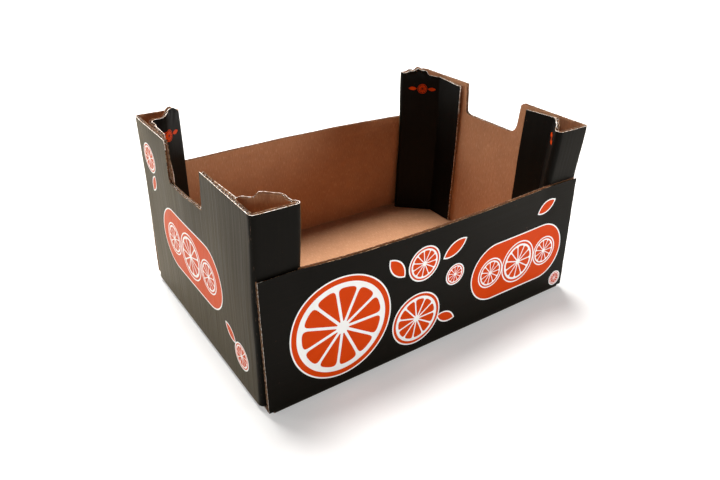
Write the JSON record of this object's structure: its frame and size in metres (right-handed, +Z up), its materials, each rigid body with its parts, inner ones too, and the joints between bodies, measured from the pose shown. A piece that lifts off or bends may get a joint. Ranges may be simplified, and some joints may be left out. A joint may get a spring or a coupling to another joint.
{
  "type": "cardboard fruit tray box",
  "caption": "Open tray folded from corrugated board, with high corner posts, stacking lugs, low long walls and a wide cut-out in each end wall.",
  "frame": {"origin": "middle of the base's underside", "axes": "+X along the long side to the right as seen from the front, +Y away from the front, +Z up"},
  "size_m": [0.4, 0.288, 0.2075],
  "materials": {
    "board": "printed, matt",
    "glue": "hot-melt glue"
  },
  "bodies": {
    "root": {"tray": "board", "glue_beads": "glue"}
  },
  "joints": []
}
